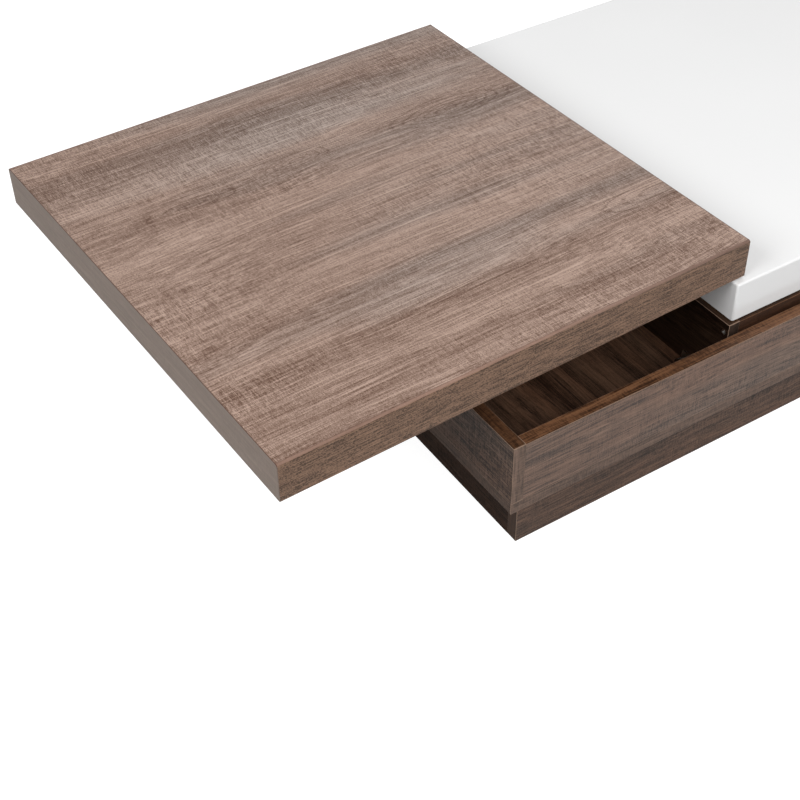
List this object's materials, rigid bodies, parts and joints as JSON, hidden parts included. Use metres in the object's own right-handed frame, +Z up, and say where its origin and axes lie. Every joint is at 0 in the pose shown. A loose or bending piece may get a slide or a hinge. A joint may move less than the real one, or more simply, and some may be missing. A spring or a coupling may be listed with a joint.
{
  "type": "swivel coffee table",
  "caption": "Low rectangular coffee table: a square wood-grain top swivels over an open storage compartment beside a fixed white gloss panel, on a recessed plinth.",
  "frame": {"origin": "on the floor, under the middle of the storage box's footprint", "axes": "+X along the storage box towards the fixed white panel, +Y to the back, +Z up"},
  "size_m": [1.4379, 0.76, 0.335],
  "materials": {
    "walnut_board": "dark walnut melamine on particle board, matt with fine grain",
    "walnut_edge_band": "walnut edge band, satin",
    "raw_chipboard": "raw particle board, matt",
    "softwood": "sawn softwood, matt",
    "white_lacquer": "white high-gloss lacquered skin",
    "panel_backing": "thin fibreboard backing, matt",
    "paper_core": "expanded kraft paper",
    "top_walnut": "walnut grain melamine with fine saw marks, satin",
    "top_lipping": "moulded walnut-grain edge strip, satin",
    "top_side_band": "grey walnut edge band, satin",
    "zinc_screw": "zinc-plated steel",
    "zinc_fitting": "zinc-plated steel",
    "plate_steel": "zinc-plated steel plate",
    "ball_steel": "polished bearing steel",
    "cage_nylon": "natural nylon",
    "felt": "brown wool felt"
  },
  "bodies": {
    "base": {"angle_brackets": "zinc_fitting", "back_wall": "walnut_board", "bearing_lower_plate": "plate_steel", "bearing_lower_screws": "zinc_screw", "bottom_board": "walnut_board", "bottom_board_bands": "walnut_edge_band", "box_screws": "zinc_screw", "bracket_screws": "zinc_screw", "cam_bolts": "zinc_screw", "cam_locks": "zinc_fitting", "column_back": "walnut_board", "column_blocks": "softwood", "column_cap": "walnut_board", "column_front": "walnut_board", "column_left": "walnut_board", "column_right": "walnut_board", "corner_dowels": "softwood", "divider": "walnut_board", "far_support": "walnut_board", "fixed_panel_battens": "softwood", "fixed_panel_core": "paper_core", "fixed_panel_sheet": "panel_backing", "fixed_panel_shell": "white_lacquer", "frame_back_rail": "walnut_board", "frame_cross_rail": "raw_chipboard", "frame_end_bands": "walnut_edge_band", "frame_front_rail": "walnut_board", "frame_screws": "zinc_screw", "frame_top_bands": "walnut_edge_band", "front_wall": "walnut_board", "left_wall": "walnut_board", "plinth_back": "walnut_board", "plinth_corner_blocks": "softwood", "plinth_cross_rails": "raw_chipboard", "plinth_end_bands": "walnut_edge_band", "plinth_front": "walnut_board", "plinth_left": "walnut_board", "plinth_right": "walnut_board", "right_wall": "walnut_board", "rim_bands": "walnut_edge_band", "wall_end_bands": "walnut_edge_band"},
    "swivel_top": {"top_upper_skin": "top_walnut", "top_lower_skin": "top_walnut", "top_front_lipping": "top_lipping", "top_back_lipping": "top_lipping", "top_left_band": "top_side_band", "top_right_band": "top_side_band", "top_front_batten": "softwood", "top_back_batten": "softwood", "top_left_batten": "softwood", "top_right_batten": "softwood", "top_pivot_block": "raw_chipboard", "top_paper_core": "paper_core", "top_glide_pads": "felt", "bearing_upper_plate": "plate_steel", "bearing_upper_screws": "zinc_screw"},
    "ball_cage": {"bearing_cage": "cage_nylon", "bearing_balls": "ball_steel"}
  },
  "joints": [
    {"name": "top_swivel", "type": "hinge", "parent": "base", "child": "swivel_top", "pos_m": [-0.361, 0, 0.274], "axis": [0, 0, 1], "continuous": true},
    {"name": "ball_cage_turn", "type": "hinge", "parent": "base", "child": "ball_cage", "pos_m": [-0.361, 0, 0.274], "axis": [0, 0, 1], "continuous": true}
  ],
  "couplings": [
    {"joint": "ball_cage_turn", "follows": "top_swivel", "ratio": 0.5}
  ]
}
